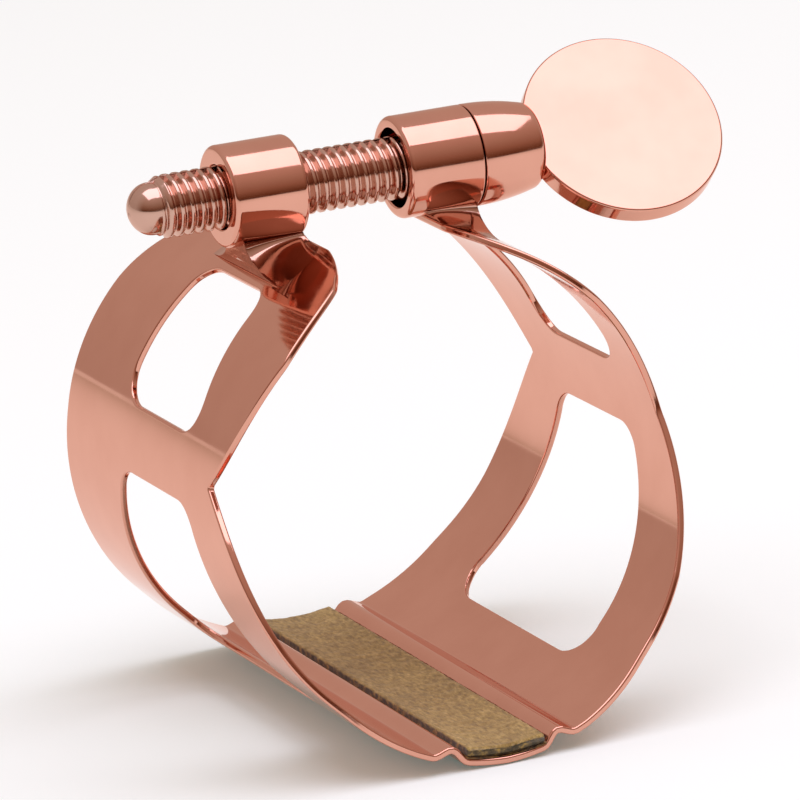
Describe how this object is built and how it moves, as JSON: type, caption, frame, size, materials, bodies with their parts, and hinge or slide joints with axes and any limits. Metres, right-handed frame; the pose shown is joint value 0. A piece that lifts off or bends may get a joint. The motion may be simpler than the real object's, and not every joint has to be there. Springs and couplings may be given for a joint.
{
  "type": "saxophone ligature",
  "caption": "Sprung sheet-metal ring that clamps a reed to a saxophone mouthpiece, drawn closed by one screw with a flat thumb disc.",
  "frame": {"origin": "centre of the band's round ring, on the mouthpiece's axis, half way along the band", "axes": "+Y along the mouthpiece, +Z from the reed towards the screw, +X along the screw towards the thumb disc"},
  "size_m": [0.035, 0.0309, 0.0342],
  "materials": {
    "rose_gold": "polished rose-gold plate over brass",
    "braze": "plated braze filler",
    "pad": "napped olive-tan pad",
    "adhesive": "thin glue film"
  },
  "bodies": {
    "root": {"band": "rose_gold", "pad_adhesive": "adhesive", "reed_pad": "pad", "plain_barrel": "rose_gold", "plain_barrel_braze": "braze"},
    "jaw": {"threaded_barrel": "rose_gold", "threaded_barrel_braze": "braze"},
    "screw": {"clamp_screw": "rose_gold", "screw_collar": "rose_gold", "thumb_disc": "rose_gold"}
  },
  "joints": [
    {"name": "screw_turn", "type": "hinge", "parent": "root", "child": "screw", "pos_m": [0, 0, 0.0158], "axis": [-1, 0, 0], "range_deg": [-910, 1450]},
    {"name": "jaw_travel", "type": "slide", "parent": "root", "child": "jaw", "axis": [1, 0, 0], "range_m": [-0.0015, 0.0024], "deforming": ["band"]}
  ],
  "couplings": [
    {"joint": "screw_turn", "follows": "jaw_travel", "rad_per_m": 10472}
  ]
}
